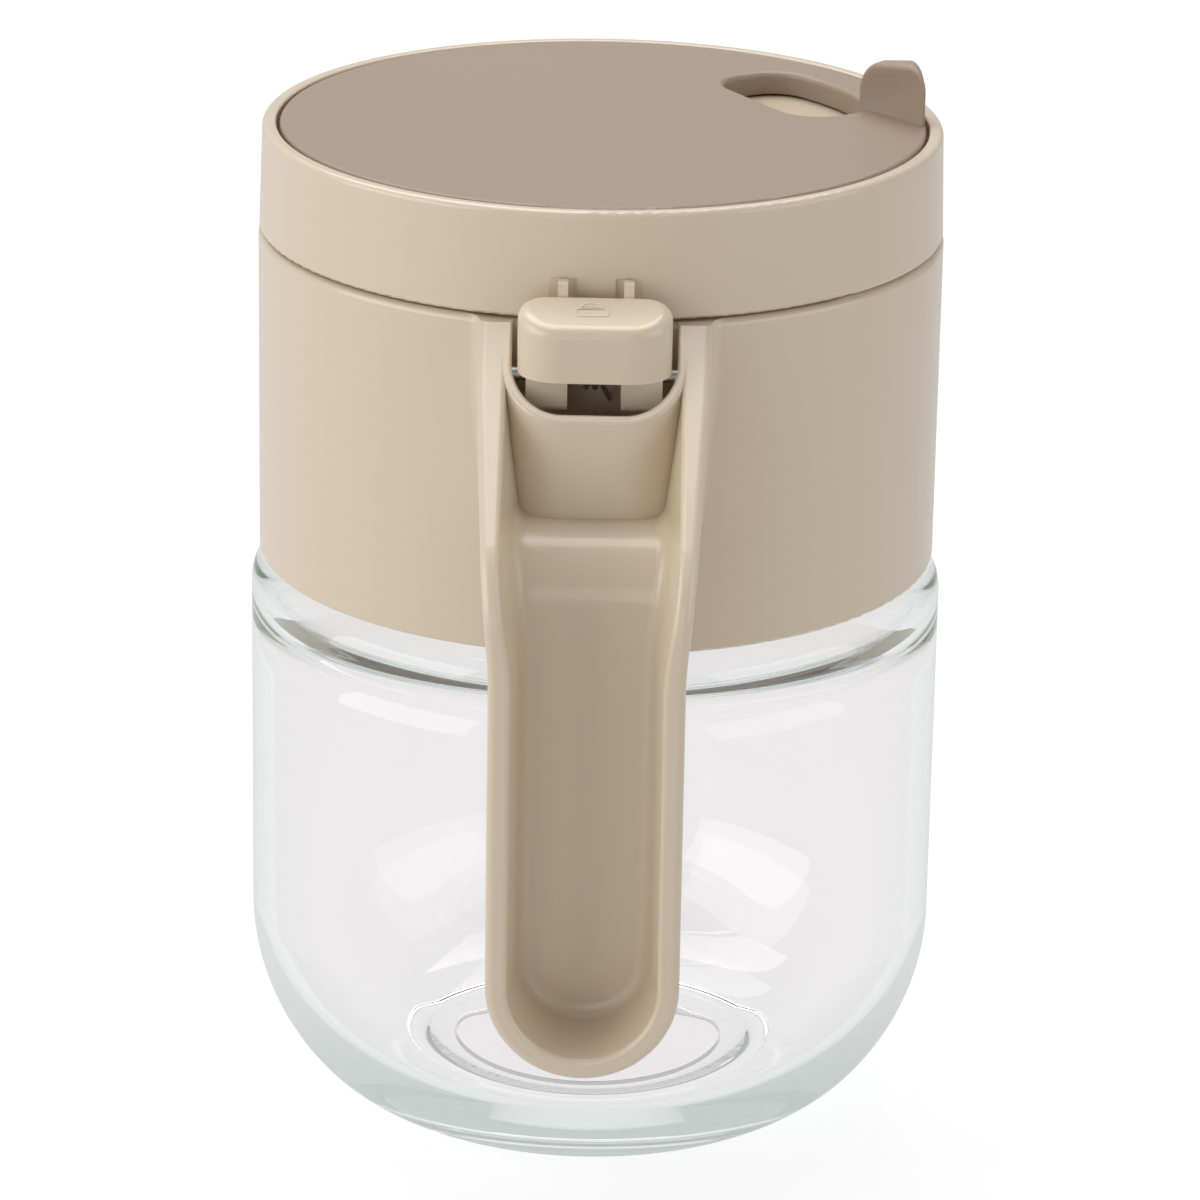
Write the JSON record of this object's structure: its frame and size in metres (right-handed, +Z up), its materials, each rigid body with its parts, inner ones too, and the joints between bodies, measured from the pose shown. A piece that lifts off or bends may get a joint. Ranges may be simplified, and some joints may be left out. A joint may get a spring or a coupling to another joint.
{
  "type": "condiment pot",
  "caption": "Glass condiment pot with a screw-on collar and handle, a hinged lid let go by a thumb button, and a turning disc for sprinkling or pouring.",
  "frame": {"origin": "on the jar's axis, at the plane of the ring that it stands on", "axes": "+Z up along the jar's axis, -Y towards the handle and the thumb button, +Y towards the lid's hinge"},
  "size_m": [0.0862, 0.1214, 0.1344],
  "materials": {
    "jar_glass": "clear, polished",
    "shell_plastic": "warm cream, soft gloss",
    "disc_plastic": "taupe, satin",
    "liner_plastic": "white, satin",
    "seal_silicone": "translucent white, matt",
    "spring_steel": "plain drawn wire and rod"
  },
  "bodies": {
    "jar": {"glass_jar": "jar_glass"},
    "neck_seal": {"neck_seal": "seal_silicone"},
    "collar": {"collar_handle": "shell_plastic", "thread_sleeve": "liner_plastic", "hinge_pin": "spring_steel", "hinge_spring": "spring_steel", "latch_pin": "spring_steel", "latch_spring": "spring_steel"},
    "button": {"press_button": "shell_plastic"},
    "lid": {"lid_shell": "shell_plastic", "lid_liner": "liner_plastic", "lid_seal": "seal_silicone"},
    "disc": {"turn_disc": "disc_plastic", "hub_washer": "spring_steel", "hub_screw": "spring_steel"}
  },
  "joints": [
    {"name": "collar_lift", "type": "slide", "parent": "jar", "child": "neck_seal", "axis": [0, 0, 1], "range_m": [0, 0.006]},
    {"name": "collar_unscrew", "type": "hinge", "parent": "neck_seal", "child": "collar", "pos_m": [0, 0, 0], "axis": [0, 0, 1], "range_deg": [0, 270]},
    {"name": "lid_hinge", "type": "hinge", "parent": "collar", "child": "lid", "pos_m": [0, 0.046, 0.113], "axis": [-1, 0, 0], "range_deg": [0, 100], "deforming": ["hinge_spring"]},
    {"name": "disc_turn", "type": "hinge", "parent": "lid", "child": "disc", "pos_m": [0, 0, 0.1244], "axis": [0, 0, 1], "range_deg": [0, 120]},
    {"name": "button_press", "type": "hinge", "parent": "collar", "child": "button", "pos_m": [0, -0.0468, 0.1094], "axis": [1, 0, 0], "range_deg": [0, 10], "stiffness_Nm_per_rad": 0.02, "springref_deg": -14.32, "deforming": ["latch_spring"]}
  ],
  "couplings": [
    {"joint": "collar_lift", "follows": "collar_unscrew", "m_per_rad": 0.001273}
  ]
}
